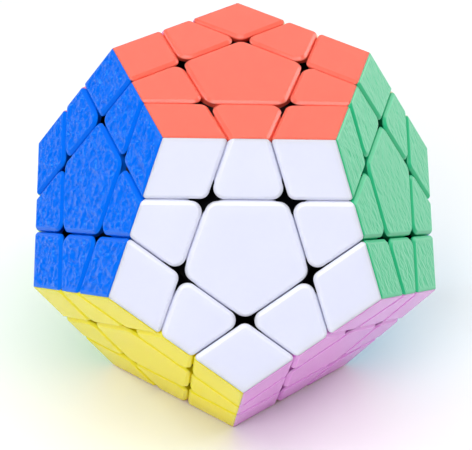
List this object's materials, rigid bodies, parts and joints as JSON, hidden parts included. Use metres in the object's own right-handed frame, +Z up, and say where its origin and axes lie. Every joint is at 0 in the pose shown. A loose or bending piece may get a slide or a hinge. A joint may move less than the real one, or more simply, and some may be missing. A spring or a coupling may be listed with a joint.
{
  "type": "dodecahedron twisty puzzle",
  "caption": "Dodecahedron twisty puzzle with coloured faces, each a turning layer of tiles held to an inner core by sprung centres.",
  "frame": {"origin": "middle of the bottom face, which the puzzle stands on", "axes": "+Z up through the coral top face, which the coral layer turns about; -Y towards the side that the white face leans over"},
  "size_m": [0.0786, 0.0826, 0.0668],
  "materials": {
    "coral_plastic": "smooth satin-gloss moulded plastic",
    "white_plastic": "smooth satin-gloss moulded plastic",
    "green_plastic": "glossy moulded plastic with a fine upright streaked relief",
    "cream_plastic": "smooth satin-gloss moulded plastic",
    "pink_plastic": "smooth satin-gloss moulded plastic",
    "blue_plastic": "glossy moulded plastic with a crinkled leather relief",
    "violet_plastic": "smooth satin-gloss moulded plastic",
    "sky_plastic": "smooth satin-gloss moulded plastic",
    "grey_plastic": "smooth satin-gloss moulded plastic",
    "lime_plastic": "smooth satin-gloss moulded plastic",
    "yellow_plastic": "smooth satin-gloss moulded plastic",
    "orange_plastic": "smooth satin-gloss moulded plastic",
    "black_plastic": "fine-grained satin moulded plastic",
    "steel": "plated steel screw and spring wire"
  },
  "bodies": {
    "puzzle": {"core_with_fixed_centres": "black_plastic", "screw_coral": "steel", "spring_coral": "steel", "screw_yellow": "steel", "spring_yellow": "steel", "screw_sky": "steel", "spring_sky": "steel", "edge_white_green": "white_plastic", "edge_white_blue": "white_plastic", "edge_white_violet": "white_plastic", "edge_green_cream": "green_plastic", "edge_green_violet": "green_plastic", "edge_cream_pink": "cream_plastic", "edge_cream_grey": "cream_plastic", "edge_pink_blue": "pink_plastic", "edge_pink_grey": "pink_plastic", "edge_pink_lime": "pink_plastic", "edge_blue_lime": "blue_plastic", "edge_violet_orange": "violet_plastic", "edge_grey_lime": "grey_plastic", "edge_grey_orange": "grey_plastic", "edge_lime_orange": "lime_plastic", "corner_white_green_violet": "white_plastic", "corner_cream_pink_grey": "cream_plastic", "corner_pink_blue_lime": "pink_plastic", "corner_pink_grey_lime": "pink_plastic", "corner_grey_lime_orange": "grey_plastic"},
    "coral_layer": {"centre_coral": "coral_plastic", "edge_coral_white": "coral_plastic", "edge_coral_green": "coral_plastic", "edge_coral_cream": "coral_plastic", "edge_coral_pink": "coral_plastic", "edge_coral_blue": "coral_plastic", "corner_coral_white_green": "coral_plastic", "corner_coral_white_blue": "coral_plastic", "corner_coral_green_cream": "coral_plastic", "corner_coral_cream_pink": "coral_plastic", "corner_coral_pink_blue": "coral_plastic"},
    "yellow_layer": {"centre_yellow": "yellow_plastic", "edge_white_yellow": "white_plastic", "edge_blue_yellow": "blue_plastic", "edge_violet_yellow": "violet_plastic", "edge_lime_yellow": "lime_plastic", "edge_yellow_orange": "yellow_plastic", "corner_white_blue_yellow": "white_plastic", "corner_white_violet_yellow": "white_plastic", "corner_blue_lime_yellow": "blue_plastic", "corner_violet_yellow_orange": "violet_plastic", "corner_lime_yellow_orange": "lime_plastic"},
    "sky_layer": {"centre_sky": "sky_plastic", "edge_green_sky": "green_plastic", "edge_cream_sky": "cream_plastic", "edge_violet_sky": "violet_plastic", "edge_sky_grey": "sky_plastic", "edge_sky_orange": "sky_plastic", "corner_green_cream_sky": "green_plastic", "corner_green_violet_sky": "green_plastic", "corner_cream_sky_grey": "cream_plastic", "corner_violet_sky_orange": "violet_plastic", "corner_sky_grey_orange": "sky_plastic"}
  },
  "joints": [
    {"name": "coral_turn", "type": "hinge", "parent": "puzzle", "child": "coral_layer", "pos_m": [0, 0, 0.0334], "axis": [0, 0, 1], "continuous": true},
    {"name": "yellow_turn", "type": "hinge", "parent": "puzzle", "child": "yellow_layer", "pos_m": [0, 0, 0.0334], "axis": [-0.5257, -0.7236, -0.4472], "continuous": true},
    {"name": "sky_turn", "type": "hinge", "parent": "puzzle", "child": "sky_layer", "pos_m": [0, 0, 0.0334], "axis": [0.8507, 0.2764, -0.4472], "continuous": true}
  ]
}
